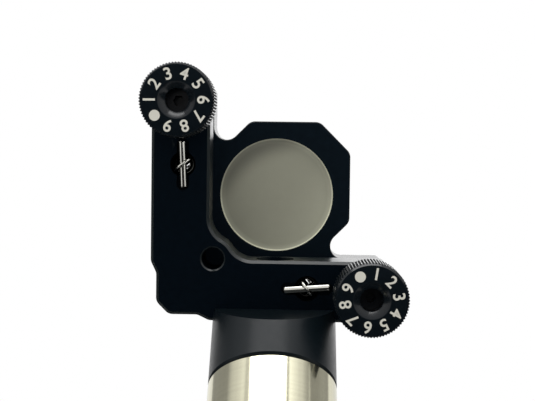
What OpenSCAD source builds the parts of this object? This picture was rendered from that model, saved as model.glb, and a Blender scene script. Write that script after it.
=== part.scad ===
// Kinematic mirror mount with two fine-pitch adjusters for a 25.4 mm optic,
// bolted to a 45 degree adapter on a 25.4 mm post.
// Millimetres. The origin is the centre of the post's base and +Z runs up the post.
// The head has its own axes: x across, y from the knobs towards the mirror, z up the plates,
// with its zero where the mounting screw passes the adapter's seat.

/* [Post] */
// Diameter of the post
post_d = 25.4; // [20:0.1:30]
// Length of the post
post_len = 50.8; // [30:0.1:150]
// Chamfer at both ends of the post
post_chamfer = 0.5; // [0.2:0.1:1.5]
// Diameter of the tapped hole in the post's base
base_hole_d = 5.1; // [4:0.1:8]
// Depth of the tapped hole in the post's base
base_hole_depth = 12.7; // [6:0.1:20]
// Diameter of the stud between post and adapter
stud_d = 6.35; // [4:0.05:8]
// Length of that stud
stud_len = 15.9; // [10:0.1:24]
// Depth of the stud's hole in the adapter
stud_in_adapter = 6.4; // [4:0.1:8]

/* [Angle adapter] */
// Angle of the adapter's seat to the post's base
seat_angle = 45; // [30:1:60]
// Length of the adapter along its axis, up to the lip's plane
adapter_len = 20.4; // [16:0.1:30]
// Height of the lip that stands up behind the back plate
lip_height = 2.55; // [1:0.1:4]
// Drop of the seat in front of the back plate, so that the front plate swings free
relief_drop = 1.2; // [0.8:0.1:2.5]
// Clearance between the lip and the back plate
lip_gap = 0.05; // [0.02:0.01:0.3]
// Chamfer round the adapter's base
adapter_chamfer = 0.4; // [0.2:0.1:1.5]

/* [Plates] */
// Thickness of each plate
plate_t = 9.525; // [7:0.1:12.7]
// Gap between the plates when they are parallel
plate_gap = 3.6; // [3.2:0.1:6]
// Distance from the pivot to each adjuster
lever_arm = 38.1; // [36:0.1:48]
// Distance from the adjuster axes to the plates' outer edges
edge_margin = 6.5; // [5.5:0.05:7.5]
// Width of the back plate's upright arm
arm_width = 12; // [11:0.1:14]
// Width of its lower arm, which takes the mounting screw
lower_arm_width = 12.5; // [11:0.1:14]
// Width of the front plate's arms
front_arm_width = 10.9; // [10.5:0.1:13]
// Chamfer at the free ends of the arms
arm_chamfer = 3.1; // [1:0.1:4.5]
// Radius on the corners of both plates' outlines
outline_r = 1.2; // [0.3:0.1:2]
// Inward step of the back plate's outline round its corner
corner_step = 1.15; // [0.4:0.05:2]
// Length over which that step runs
corner_run = 2.4; // [1.5:0.1:4]
// Distance from the corner to the step's outer end
corner_reach = 12.1; // [8:0.1:14]
// Chamfer across the plates' corner
corner_chamfer = 2.6; // [1:0.1:4]
// Radius at the ends of that chamfer and of the step
corner_r = 2; // [0.5:0.1:3]
// Diameter of the through hole near the corner
corner_hole_d = 4.6; // [3:0.1:5.2]
// Distance of that hole from both outer edges
corner_hole_in = 12.8; // [11:0.1:15]
// Radius of the boss round the corner hole
corner_boss_r = 4.2; // [3.2:0.1:5]
// Radius of the hollows between that boss and the arms
corner_fillet_r = 5.5; // [2:0.1:6]
// Inset of the front plate's outer edges from the back plate's
front_inset = 0.95; // [0.6:0.05:2]

/* [Optic cell] */
// Half width of the eight-sided cell
cell_half = 15.85; // [15:0.05:17]
// Long chamfer of the cell, at the lock screw
cell_chamfer = 6.65; // [4:0.05:9]
// Distance from the optic's centre to where the short chamfers start
cell_shoulder = 5.75; // [3:0.05:7]
// Radius on the cell's corners
cell_r = 2.3; // [0.5:0.1:4]
// Radius of the relief between the cell and each arm
relief_r = 2.75; // [1.5:0.05:3.4]
// Diameter of the mirror
mirror_d = 25.4; // [20:0.1:25.8]
// Thickness of the mirror
mirror_t = 6; // [3:0.1:7.5]
// Bevel round both faces of the mirror
mirror_bevel = 0.35; // [0.1:0.05:0.8]
// Width of the lip that the mirror's back rests on
optic_lip = 0.5; // [0.3:0.05:1.5]
// Thickness of that lip
optic_lip_t = 0.9; // [0.6:0.1:1.6]

/* [Adjusters] */
// Diameter of the adjusting screws
screw_d = 6.35; // [5:0.05:6.5]
// Diameter of the knobs
knob_d = 14.6; // [12:0.1:15]
// Length of the knobs
knob_len = 9.8; // [8:0.1:12]
// Clear space between a knob and the back plate
knob_standoff = 3.7; // [3.2:0.1:6]
// Chamfer round the knobs
knob_chamfer = 0.5; // [0.1:0.05:1]
// Mouth diameter of the recess in a knob
recess_mouth_d = 7.2; // [5.5:0.1:9]
// Inner diameter of that recess
recess_d = 4.6; // [3.6:0.1:5.4]
// Depth of the cone at the recess's mouth
recess_cone = 1.3; // [0.5:0.1:2]
// Depth of the whole recess, down to the screw's end
recess_depth = 5; // [3:0.1:6]
// Width across flats of the hex socket in a screw
hex_af = 2; // [1.5:0.1:2.5]
// Depth of that socket
hex_depth = 2.5; // [1.5:0.1:4]
// Diameter of the bushings
bushing_d = 8.7; // [8:0.1:9.5]
// Diameter of the bearing balls
ball_d = 4.7625; // [4:0.05:5]
// Distance of the balls' centres behind the front plate's rear face
ball_back = 1.18; // [0.9:0.01:1.3]
// Diameter of the hardened seats
seat_d = 6.4; // [5.6:0.1:7.5]
// Depth of those seats in the front plate
seat_depth = 3.6; // [3:0.1:6]
// Diameter of the pivot's anchor in the back plate
anchor_d = 5.4; // [5:0.1:7]
// Depth of that anchor in the back plate
anchor_depth = 5.8; // [3:0.1:8]
// Running clearance between balls and seats
ball_gap = 0.04; // [0.02:0.01:0.1]
// Radial clearance between screw and bushing
screw_gap = 0.03; // [0.01:0.01:0.1]
// Radial clearance of pieces glued or threaded in place
fit_gap = 0.02; // [0.01:0.01:0.05]

/* [Springs] */
// Distance of the upper spring from the pivot
spring_arm = 25.6; // [22:0.1:27]
// Distance of the lower spring from the pivot
lower_spring_arm = 25.7; // [22:0.1:27]
// Height of the lower spring over the pivot
lower_spring_up = 0.4; // [0:0.05:0.5]
// Diameter of the spring holes
spring_hole_d = 5.2; // [4.8:0.1:5.4]
// Outer diameter of the springs
spring_d = 4.6; // [4:0.1:4.6]
// Diameter of the spring wire
wire_d = 0.65; // [0.3:0.05:0.8]
// Number of open coils drawn
coil_count = 13; // [6:1:18]
// Turn of the springs' end loops against their pins
loop_turn = 36; // [0:1:60]
// Diameter of the cross pins
pin_d = 1.5875; // [1:0.0125:1.6]
// Length of the cross pins
pin_len = 9.525; // [7:0.025:10]
// Radius of the pins' ends
pin_end_r = 0.3; // [0.1:0.05:0.5]
// Depth of the pins' axes under the plates' faces
pin_in = 0.1; // [0:0.05:0.8]
// Tilt of the upper rear pin in its slot
upper_pin_tilt = 2.6; // [0:0.1:4.5]
// Tilt of the lower rear pin in its slot
lower_pin_tilt = 4.3; // [0:0.1:4.5]
// Length of the pin slots
slot_len = 10.7; // [10.2:0.1:11.5]
// Width of the pin slots
slot_w = 2.5; // [2.4:0.1:3]
// Clearance on both sides of a spring's front loop in its narrow slot
loop_gap = 0.075; // [0.05:0.025:0.3]
// Front plate left in front of each spring
spring_web = 1.4; // [0.8:0.1:1.5]

/* [Fasteners] */
// Diameter of the mounting screw's thread
mount_screw_d = 4.166; // [3:0.01:5]
// Length of the mounting screw under its head
mount_screw_len = 12.7; // [10:0.1:16]
// Adapter thickness between seat and screw head
mount_web = 6; // [4:0.1:8]
// Diameter of the mounting screw's head
mount_head_d = 6.9; // [6:0.1:7.4]
// Height of that head
mount_head_h = 4.2; // [3:0.1:5]
// Diameter of the counterbore for that head
counterbore_d = 7.8; // [7.5:0.1:9]
// Diameter of the free tapped hole in the plate's left edge
side_hole_d = 3.45; // [3:0.05:4.2]
// Depth of the tapped holes in the plate's edges
edge_hole_depth = 8; // [7:0.1:9]
// Diameter of the lock screw that holds the mirror
lock_d = 4.166; // [3:0.01:5]
// Length of the lock screw
lock_len = 4; // [2.5:0.1:4.2]
// Diameter of the lock screw's soft tip
tip_d = 2.2; // [1.5:0.1:3]
// Length of that tip
tip_len = 0.7; // [0.4:0.1:1.2]

/* [Hidden] */
eps = 0.01;
round_fn = 96;
small_fn = 48;
arc_step = 7.5;                            // degrees between the points of a rounded corner

optic_off = lever_arm / 2;                 // optic's centre to both adjuster axes
left = -optic_off - edge_margin;           // back plate's outer left edge
optic_z = edge_margin + optic_off;         // optic's centre above the seat
pivot_x = -optic_off;
pivot_z = edge_margin;
arm_end = edge_margin + lever_arm + edge_margin; // arm length from the outer corner
rear = -plate_t / 2;                       // back plate's rear face
back_front = plate_t / 2;                  // back plate's front face
front_rear = back_front + plate_gap;       // front plate's rear face
front_face = front_rear + plate_t;         // front plate's front face
ball_y = front_rear - ball_back;
ball_r = ball_d / 2;

knob_rear = rear - knob_standoff;
knob_face = knob_rear - knob_len;
screw_back = knob_face + recess_depth;
screw_front = ball_y - 1.2;

face_z = post_len + adapter_len;

bore_r = mirror_d / 2 + fit_gap;
mirror_back = front_rear + optic_lip_t;

loop_r = (spring_d - wire_d) / 2;
slot_depth = pin_in + pin_d / 2 + 0.05;
hole_end = front_face - slot_depth - spring_web; // front ends of the front plate's spring holes
rear_pin_y = rear + pin_in;
front_pin_y = front_face - pin_in;
rear_loop_y = rear_pin_y - pin_d / 2 - wire_d / 2 - fit_gap + loop_r;
front_loop_y = front_pin_y + pin_d / 2 + wire_d / 2 + fit_gap - loop_r;
coil_from = rear_loop_y + loop_r;
coil_to = front_loop_y - loop_r;

cell_diag = cell_half * sqrt(2) - cell_chamfer / sqrt(2); // optic axis to the long chamfer
lock_out = cell_diag - 0.3;
lock_in = mirror_d / 2 + fit_gap + tip_len;

black = [0.06, 0.065, 0.075];
steel = [0.72, 0.71, 0.68];
dark_steel = [0.35, 0.35, 0.36];
brass = [0.72, 0.58, 0.3];
glass = [0.6, 0.59, 0.54];
nylon = [0.92, 0.92, 0.88];

// Head axes to the part's axes.
module in_head() {
    translate([0, 0, face_z])
        rotate([seat_angle, 0, 0])
            translate([0, 0, -lip_height])
                children();
}

// A solid of an outline drawn in x and z, from y0 to y1.
module slab(y0, y1) {
    translate([0, y1, 0]) rotate([90, 0, 0]) linear_extrude(height = y1 - y0) children();
}

// A cylinder along y.
module along_y(d, y0, y1, fn = small_fn) {
    translate([0, y1, 0]) rotate([90, 0, 0]) cylinder(d = d, h = y1 - y0, $fn = fn);
}

module cone_y(d0, d1, y0, y1, fn = small_fn) {
    translate([0, y0, 0]) rotate([-90, 0, 0]) cylinder(d1 = d0, d2 = d1, h = y1 - y0, $fn = fn);
}

module at_pivot() { translate([pivot_x, 0, pivot_z]) children(); }
module at_upper() { translate([pivot_x, 0, pivot_z + lever_arm]) children(); }
module at_lower() { translate([pivot_x + lever_arm, 0, pivot_z]) children(); }
module at_upper_spring() { translate([pivot_x, 0, pivot_z + spring_arm]) children(); }
module at_lower_spring() {
    translate([pivot_x + lower_spring_arm, 0, pivot_z + lower_spring_up]) rotate([0, 90, 0]) children();
}

function along(a, b, t) = a + (b - a) * t;
function unit(v) = v / norm(v);
function reversed(v) = [for (i = [len(v) - 1:-1:0]) v[i]];

// The L is the same either way across its diagonal: the lower arm swaps the two directions.
function across(p, swap) = swap ? [for (i = [len(p) - 1:-1:0]) [p[i][1], p[i][0], p[i][2]]] : p;

// Points of the arc that rounds the corner b between a and c.
function corner_arc(a, b, c, r) =
    let (u = unit(a - b), v = unit(c - b), half = acos(u * v) / 2,
         reach = min(r / tan(half), 0.48 * norm(a - b), 0.48 * norm(c - b)),
         o = b + unit(u + v) * reach / cos(half),
         from = b + u * reach - o, to = b + v * reach - o,
         turn = 180 - 2 * half, n = ceil(turn / arc_step))
    [for (k = [0:n]) o + (sin(turn * (1 - k / n)) * from + sin(turn * k / n) * to) / sin(turn)];

// An outline whose corners [x, y, r] are rounded by their radius, or left sharp at 0.
function flat(p) = [p[0], p[1]];
function rounded(p) = [for (i = [0:len(p) - 1])
    each p[i][2] == 0 ? [flat(p[i])]
        : corner_arc(flat(p[(i + len(p) - 1) % len(p)]), flat(p[i]), flat(p[(i + 1) % len(p)]), p[i][2])];

// Free end of an arm between its outer edge at s and its inner edge at w.
function arm_tip(s, w) = [
    [s, arm_end - arm_chamfer, outline_r], [s + arm_chamfer, arm_end, outline_r],
    [w - arm_chamfer, arm_end, outline_r], [w, arm_end - arm_chamfer, outline_r]];

// The whole L, from the corner up the upright arm and back along the lower one.
module ell(upright, inner, lower) {
    translate([left, 0]) polygon(rounded(reversed(concat(upright, [inner], across(lower, true)))));
}

// The back plate's outer edge steps in round its corner.
function stepped_side(w) = concat([
    [corner_step, corner_step + corner_chamfer, corner_r],
    [corner_step, corner_reach - corner_run, corner_r], [0, corner_reach, corner_r]], arm_tip(0, w));
function plain_side(s, w) = concat([[s, s + corner_chamfer, corner_r]], arm_tip(s, w));

// Hollow between the corner boss and an arm's inner edge at w.
boss_c = corner_hole_in;
function hollow(w) = let (x = w + corner_fillet_r)
    [x, boss_c + sqrt(max(0.01, pow(corner_boss_r + corner_fillet_r, 2) - pow(x - boss_c, 2)))];

module corner_web(w, swap) {
    h = hollow(w);
    c = across([h], swap)[0];
    difference() {
        translate([left, 0]) polygon([for (p = across([
            [w - 0.5, boss_c - 0.5], [boss_c, boss_c - 0.5], h, [w - 0.5, h[1]]], swap)) flat(p)]);
        translate([left + c[0], c[1]]) circle(r = corner_fillet_r, $fn = 64);
    }
}

module back_outline() {
    ell(stepped_side(arm_width), [arm_width, lower_arm_width, 0], stepped_side(lower_arm_width));
    corner_web(arm_width, false);
    corner_web(lower_arm_width, true);
    translate([left + boss_c, boss_c]) circle(r = corner_boss_r, $fn = 64);
}

// Eight-sided cell round the optic, drawn from the optic's centre.
front_arm = front_inset + front_arm_width; // front arms' inner edge from the back plate's outer edge
arm_top = front_arm - optic_z;             // and from the optic's centre
relief_v = arm_top + relief_r;
relief_u = relief_v + cell_half + cell_shoulder + relief_r * sqrt(2);

module cell_outline() {
    c = cell_half;
    t = relief_r / sqrt(2);
    difference() {
        polygon(rounded([
            [arm_top - 2, arm_top - 2, 0], [relief_u, arm_top - 2, 0], [relief_u, relief_v, 0],
            [relief_u - t, relief_v + t, 0], [c, -cell_shoulder, cell_r], [c, c - cell_chamfer, cell_r],
            [c - cell_chamfer, c, cell_r], [-cell_shoulder, c, cell_r], [relief_v + t, relief_u - t, 0],
            [relief_v, relief_u, 0], [arm_top - 2, relief_u, 0]]));
        translate([relief_u, relief_v]) circle(r = relief_r, $fn = 64);
        translate([relief_v, relief_u]) circle(r = relief_r, $fn = 64);
    }
}

module front_outline() {
    side = plain_side(front_inset, front_arm);
    ell(side, [front_arm, front_arm, 0], side);
    translate([0, optic_z]) cell_outline();
}

// Round-ended slot across a spring hole, cut from y0 to y1.
module pin_slot(y0, y1) {
    half = (slot_len - slot_w) / 2;
    slab(y0, y1) square([slot_w, 2 * half], center = true);
    for (s = [-1, 1]) translate([0, 0, s * half]) along_y(slot_w, y0, y1);
}

// Blind spring hole in the front plate, the narrow slot its loop passes, and the pin's slot.
module front_spring_hole() {
    along_y(spring_hole_d, front_rear - 1, hole_end);
    slab(hole_end - eps, front_face + 1) rotate(loop_turn)
        square([spring_hole_d, wire_d + 2 * loop_gap], center = true);
    pin_slot(front_face - slot_depth, front_face + 1);
}

module post() {
    color(steel) difference() {
        rotate_extrude($fn = round_fn) polygon([
            [0, 0], [post_d / 2 - post_chamfer, 0], [post_d / 2, post_chamfer],
            [post_d / 2, post_len - post_chamfer], [post_d / 2 - post_chamfer, post_len], [0, post_len]]);
        translate([0, 0, -eps]) cylinder(d = base_hole_d, h = base_hole_depth + eps, $fn = small_fn);
        translate([0, 0, post_len + stud_in_adapter - stud_len - 0.5])
            cylinder(d = stud_d + 2 * fit_gap, h = stud_len, $fn = small_fn);
    }
}

module post_stud() {
    color(dark_steel) translate([0, 0, post_len + stud_in_adapter - stud_len]) difference() {
        cylinder(d = stud_d, h = stud_len, $fn = small_fn);
        translate([0, 0, stud_len - 3]) cylinder(d = 3.2 / cos(30), h = 4, $fn = 6);
    }
}

module angle_adapter() {
    far = 3 * post_d;
    color(black) difference() {
        translate([0, 0, post_len]) union() {
            cylinder(d1 = post_d - 2 * adapter_chamfer, d2 = post_d, h = adapter_chamfer, $fn = round_fn);
            translate([0, 0, adapter_chamfer])
                cylinder(d = post_d, h = adapter_len + post_d - adapter_chamfer, $fn = round_fn);
        }
        in_head() {
            // lip plane
            translate([-far / 2, -far / 2, lip_height]) cube([far, far, far]);
            // seat
            translate([-far / 2, rear - lip_gap, 0]) cube([far, far, far]);
            // lower seat under the front plate
            translate([-far / 2, back_front + 0.4, -relief_drop]) cube([far, far, far]);
            // mounting screw
            translate([0, 0, -mount_web - eps])
                cylinder(d = mount_screw_d + 0.5, h = mount_web + 2 * eps, $fn = small_fn);
            translate([0, 0, -mount_web - post_d])
                cylinder(d = counterbore_d, h = post_d, $fn = small_fn);
        }
        translate([0, 0, post_len - eps])
            cylinder(d = stud_d + 2 * fit_gap, h = stud_in_adapter + 0.4, $fn = small_fn);
    }
}

module mount_screw() {
    color(dark_steel) in_head() difference() {
        union() {
            translate([0, 0, -mount_web]) cylinder(d = mount_screw_d, h = mount_screw_len, $fn = small_fn);
            translate([0, 0, -mount_web - mount_head_h]) cylinder(d = mount_head_d, h = mount_head_h, $fn = small_fn);
        }
        translate([0, 0, -mount_web - mount_head_h - eps])
            cylinder(d = 3.6 / cos(30), h = 2.4, $fn = 6);
    }
}

module back_plate() {
    color(black) in_head() difference() {
        slab(rear, back_front) back_outline();
        at_upper() along_y(bushing_d + 2 * fit_gap, rear - 1, back_front + 1, 64);
        at_lower() along_y(bushing_d + 2 * fit_gap, rear - 1, back_front + 1, 64);
        at_pivot() along_y(anchor_d + 2 * fit_gap, back_front - anchor_depth, back_front + 1, 64);
        at_upper_spring() {
            along_y(spring_hole_d, rear - 1, back_front + 1);
            pin_slot(rear - 1, rear + slot_depth);
        }
        at_lower_spring() {
            along_y(spring_hole_d, rear - 1, back_front + 1);
            pin_slot(rear - 1, rear + slot_depth);
        }
        translate([left + boss_c, 0, boss_c]) {
            along_y(corner_hole_d, rear - 1, back_front + 1);
            cone_y(corner_hole_d + 0.6 + 2 * eps, corner_hole_d, rear - eps, rear + 0.3);
        }
        // tapped hole over the adapter
        translate([0, 0, -eps]) cylinder(d = mount_screw_d + 2 * fit_gap, h = edge_hole_depth + eps, $fn = small_fn);
        // the same hole for the other hand, free
        translate([left - eps, 0, optic_z]) rotate([0, 90, 0])
            cylinder(d = side_hole_d, h = edge_hole_depth + eps, $fn = small_fn);
    }
}

module bushing() {
    color(brass) difference() {
        along_y(bushing_d, rear, back_front, 64);
        along_y(screw_d + 2 * screw_gap, rear - 1, back_front + 1, 64);
    }
}
module upper_bushing() { in_head() at_upper() bushing(); }
module lower_bushing() { in_head() at_lower() bushing(); }

module pivot_anchor() {
    color(steel) in_head() at_pivot() difference() {
        along_y(anchor_d, back_front - anchor_depth, screw_front, 64);
        translate([0, ball_y, 0]) sphere(r = ball_r + ball_gap, $fn = small_fn);
    }
}

module ball() { color(steel) translate([0, ball_y, 0]) sphere(r = ball_r, $fn = small_fn); }
module pivot_ball() { in_head() at_pivot() ball(); }
module upper_tip_ball() { in_head() at_upper() ball(); }
module lower_tip_ball() { in_head() at_lower() ball(); }

module screw() {
    color(dark_steel) difference() {
        along_y(screw_d, screw_back, screw_front, 64);
        along_y(hex_af / cos(30), screw_back - 1, screw_back + hex_depth, 6);
        translate([0, ball_y, 0]) sphere(r = ball_r + ball_gap, $fn = small_fn);
    }
}
module upper_screw() { in_head() at_upper() screw(); }
module lower_screw() { in_head() at_lower() screw(); }

module knob() {
    color(black) difference() {
        union() {
            cone_y(knob_d - 2 * knob_chamfer, knob_d, knob_face, knob_face + knob_chamfer, round_fn);
            along_y(knob_d, knob_face + knob_chamfer, knob_rear - knob_chamfer, round_fn);
            cone_y(knob_d, knob_d - 2 * knob_chamfer, knob_rear - knob_chamfer, knob_rear, round_fn);
        }
        along_y(screw_d + 2 * fit_gap, screw_back, knob_rear + 1, 64);
        along_y(recess_d, knob_face - 1, screw_back + eps);
        cone_y(recess_mouth_d, recess_d, knob_face, knob_face + recess_cone);
        along_y(recess_mouth_d, knob_face - 1, knob_face + eps);
    }
}
module upper_knob() { in_head() at_upper() knob(); }
module lower_knob() { in_head() at_lower() knob(); }

module front_plate() {
    color(black) in_head() difference() {
        slab(front_rear, front_face) front_outline();
        translate([0, 0, optic_z]) {
            along_y(2 * bore_r, mirror_back, front_face + 1, round_fn);
            along_y(mirror_d - 2 * optic_lip, front_rear - 1, front_face, round_fn);
            cone_y(2 * bore_r, 2 * bore_r + 1.6 + 2 * eps, front_face - 0.8, front_face + eps, round_fn);
            // lock screw's hole
            rotate([0, 45, 0]) translate([0, mirror_back + mirror_t / 2, 0])
                cylinder(d = lock_d + 2 * fit_gap, h = cell_diag + 2, $fn = small_fn);
        }
        for (p = [[0, 0], [0, lever_arm], [lever_arm, 0]])
            translate([pivot_x + p[0], 0, pivot_z + p[1]])
                along_y(seat_d + 2 * fit_gap, front_rear - 1, front_rear + seat_depth, 64);
        at_upper_spring() front_spring_hole();
        at_lower_spring() front_spring_hole();
    }
}

seat_apex = ball_y + (ball_r + ball_gap) * sqrt(2);

module pivot_seat() {
    color(steel) in_head() at_pivot() difference() {
        along_y(seat_d, front_rear, front_rear + seat_depth, 64);
        cone_y(2 * (seat_apex - front_rear) + 2, 0, front_rear - 1, seat_apex);
    }
}

module vee_seat() {
    w = seat_apex - front_rear + 1;
    color(steel) in_head() at_upper() difference() {
        along_y(seat_d, front_rear, front_rear + seat_depth, 64);
        translate([0, 0, -seat_d]) linear_extrude(height = 2 * seat_d)
            polygon([[0, seat_apex], [-w, seat_apex - w], [w, seat_apex - w]]);
    }
}

module flat_seat() {
    color(steel) in_head() at_lower()
        along_y(seat_d, ball_y + ball_r + ball_gap, front_rear + seat_depth, 64);
}

module mirror_disc() {
    b = mirror_bevel;
    color(glass) in_head() translate([0, mirror_back, optic_z]) rotate([-90, 0, 0])
        rotate_extrude($fn = round_fn) polygon([
            [0, 0], [mirror_d / 2 - b, 0], [mirror_d / 2, b],
            [mirror_d / 2, mirror_t - b], [mirror_d / 2 - b, mirror_t], [0, mirror_t]]);
}

module at_lock() {
    in_head() translate([0, mirror_back + mirror_t / 2, optic_z]) rotate([0, 45, 0]) children();
}

module lock_screw() {
    color(dark_steel) at_lock() difference() {
        translate([0, 0, lock_in]) cylinder(d = lock_d, h = lock_len, $fn = small_fn);
        translate([0, 0, lock_in + lock_len - 1.8]) cylinder(d = 2 / cos(30), h = 3, $fn = 6);
    }
}

module lock_tip() {
    color(nylon) at_lock() translate([0, 0, lock_in - tip_len])
        cylinder(d = tip_d, h = tip_len, $fn = small_fn);
}

// Extension spring: a helix with a raised loop at each end, swept as a six-sided wire.
function bend(a, b, c, n) = [for (i = [1:n]) let (t = i / (n + 1)) along(along(a, b, t), along(b, c, t), t)];
function coil_pt(a, y) = [loop_r * cos(a), y, loop_r * sin(a)];
function loop_pt(a, yc, s) = [-loop_r * cos(a) * cos(loop_turn), yc - s * loop_r * sin(a), -loop_r * cos(a) * sin(loop_turn)];
function end_loop(yc, s) = [for (a = [200:-20:20]) loop_pt(a, yc, s)];
start_a = 180 + loop_turn;
coil_steps = 16;
lead = 24;
side_rear = loop_pt(0, rear_loop_y, 1);
side_front = loop_pt(0, front_loop_y, -1);
root_rear = coil_pt(start_a, coil_from);
root_front = coil_pt(start_a, coil_to);
helix = [for (i = [0:coil_count * coil_steps])
    let (k = i / (coil_count * coil_steps))
        coil_pt(start_a + lead + (coil_count * 360 - 2 * lead) * k, along(coil_from, coil_to, k))];
rear_part = concat(end_loop(rear_loop_y, 1), [side_rear, along(side_rear, root_rear, 0.5)],
    bend(along(side_rear, root_rear, 0.55), root_rear, helix[0], 3));
front_part = concat(end_loop(front_loop_y, -1), [side_front, along(side_front, root_front, 0.5)],
    bend(along(side_front, root_front, 0.55), root_front, helix[len(helix) - 1], 3));
spring_path = concat(rear_part, helix, reversed(front_part));

function heading(p, i) = unit(p[min(i + 1, len(p) - 1)] - p[max(i - 1, 0)]);
function square_to(v, t) = unit(v - (v * t) * t);
module wire(p, r, sides) {
    n = len(p);
    t = [for (i = [0:n - 1]) heading(p, i)];
    u = [for (i = 0, v = square_to([0.3, 0.5, 0.8], t[0]); i < n;
              i = i + 1, v = i < n ? square_to(v, t[i]) : v) v];
    polyhedron(
        points = [for (i = [0:n - 1]) let (w = cross(t[i], u[i]))
            for (k = [0:sides - 1]) p[i] + r * (cos(360 * k / sides) * u[i] + sin(360 * k / sides) * w)],
        faces = concat(
            [[for (k = [0:sides - 1]) k]],
            [for (i = [0:n - 2]) for (k = [0:sides - 1]) for (far = [0, 1])
                let (m = (k + 1) % sides, a = i * sides, b = a + sides)
                far == 1 ? [b + k, b + m, a + m] : [b + k, a + m, a + k]],
            [[for (k = [sides - 1:-1:0]) (n - 1) * sides + k]]),
        convexity = 10);
}
module spring() { color(steel) wire(spring_path, wire_d / 2, 6); }
module upper_spring() { in_head() at_upper_spring() spring(); }
module lower_spring() { in_head() at_lower_spring() spring(); }

module cross_pin(y, tilt) {
    half = pin_len / 2;
    tip = [for (a = [0:30:90]) [pin_d / 2 - pin_end_r * (1 - sin(a)), half - pin_end_r * (1 - cos(a))]];
    color(steel) translate([0, y, 0]) rotate([0, -tilt, 0]) rotate_extrude($fn = 24)
        polygon(concat([[0, half]], tip, [for (p = reversed(tip)) [p[0], -p[1]]], [[0, -half]]));
}
module upper_rear_pin() { in_head() at_upper_spring() cross_pin(rear_pin_y, upper_pin_tilt); }
module lower_rear_pin() { in_head() at_lower_spring() cross_pin(rear_pin_y, lower_pin_tilt); }
module upper_front_pin() { in_head() at_upper_spring() cross_pin(front_pin_y, 0); }
module lower_front_pin() { in_head() at_lower_spring() cross_pin(front_pin_y, 0); }

post();
post_stud();
angle_adapter();
mount_screw();
back_plate();
upper_bushing();
lower_bushing();
pivot_anchor();
pivot_ball();
upper_tip_ball();
lower_tip_ball();
upper_screw();
lower_screw();
upper_knob();
lower_knob();
front_plate();
pivot_seat();
vee_seat();
flat_seat();
mirror_disc();
lock_screw();
lock_tip();
upper_spring();
lower_spring();
upper_rear_pin();
lower_rear_pin();
upper_front_pin();
lower_front_pin();
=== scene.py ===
# %% [markdown]
# # A kinematic mirror mount on a post
# A small round mirror sits in a plate that rolls on three ball points. Two fine screws push two of
# the points, so turning a knurled knob tips the mirror by a hair, and two springs pull the plate
# back on to its points. The head leans back at 45 degrees on an adapter at the top of a steel post.
#
# The shapes come from the CAD frame, which is loaded here and never changed. This lesson dresses
# it: it chamfers the plates' outlines, cuts the knurls, prints the dials and mixes the metals.
#
# The mount's own sizes are written in millimetres, and MM turns them into Blender's metres. The
# camera, the lamps and the cards are placed in metres.

# %% Load the CAD frame
import math
import bpy
from mathutils import Matrix, Vector


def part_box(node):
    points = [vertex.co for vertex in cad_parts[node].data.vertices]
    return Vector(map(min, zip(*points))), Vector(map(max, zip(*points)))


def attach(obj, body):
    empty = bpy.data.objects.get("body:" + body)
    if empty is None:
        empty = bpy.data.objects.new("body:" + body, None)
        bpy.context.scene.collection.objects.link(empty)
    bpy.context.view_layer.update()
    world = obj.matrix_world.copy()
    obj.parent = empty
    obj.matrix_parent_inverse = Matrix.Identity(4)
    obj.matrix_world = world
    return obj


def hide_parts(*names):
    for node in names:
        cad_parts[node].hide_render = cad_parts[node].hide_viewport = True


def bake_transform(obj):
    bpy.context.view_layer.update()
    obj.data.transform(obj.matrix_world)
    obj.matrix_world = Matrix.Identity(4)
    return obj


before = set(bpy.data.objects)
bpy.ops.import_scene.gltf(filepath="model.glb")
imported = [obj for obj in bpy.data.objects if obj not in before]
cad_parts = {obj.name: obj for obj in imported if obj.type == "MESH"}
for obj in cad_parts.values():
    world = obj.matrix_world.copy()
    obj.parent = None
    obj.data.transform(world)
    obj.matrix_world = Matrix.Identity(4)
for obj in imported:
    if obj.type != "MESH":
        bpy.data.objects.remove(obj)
bpy.ops.object.select_all(action="DESELECT")
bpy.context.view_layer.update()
MM = 0.001
print("nodes:", len(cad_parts))

# %% [markdown]
# ## The camera
# The object is seen from in front and from below, nearly square on to the backs of the plates, so
# the camera stands lower than the post's foot and looks up. A longish lens keeps the knobs round.

# %% Camera
CAMERA_PLACE = (0.003445, -0.179247, -0.062372)
CAMERA_TURN = (2.310350, -0.026017, 0.008004)
LENS = 71.35
FILM_WIDTH = 36
NEAREST_SEEN = 0.01

bpy.ops.object.camera_add(location=CAMERA_PLACE, rotation=CAMERA_TURN)
camera = bpy.context.object
camera.name = "camera"
camera.data.lens = LENS
camera.data.sensor_width = FILM_WIDTH
camera.data.clip_start = NEAREST_SEEN
bpy.context.scene.camera = camera
bpy.context.scene.view_settings.view_transform = "Standard"
print("camera:", tuple(round(v, 3) for v in camera.location))

# %% [markdown]
# ## Floor and light
# A studio tent gives even white light with one brighter side. The floor is a pale sheet. The camera
# is under it, so the sheet is clear from its underside only, and it casts no shadow, so light from
# below reaches the head's lower faces as the open tent would. The world is white to the lens and in
# reflections.

# %% Floor
FLOOR_COLOUR = (0.80, 0.80, 0.79)
FLOOR_SIZE = 4

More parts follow.
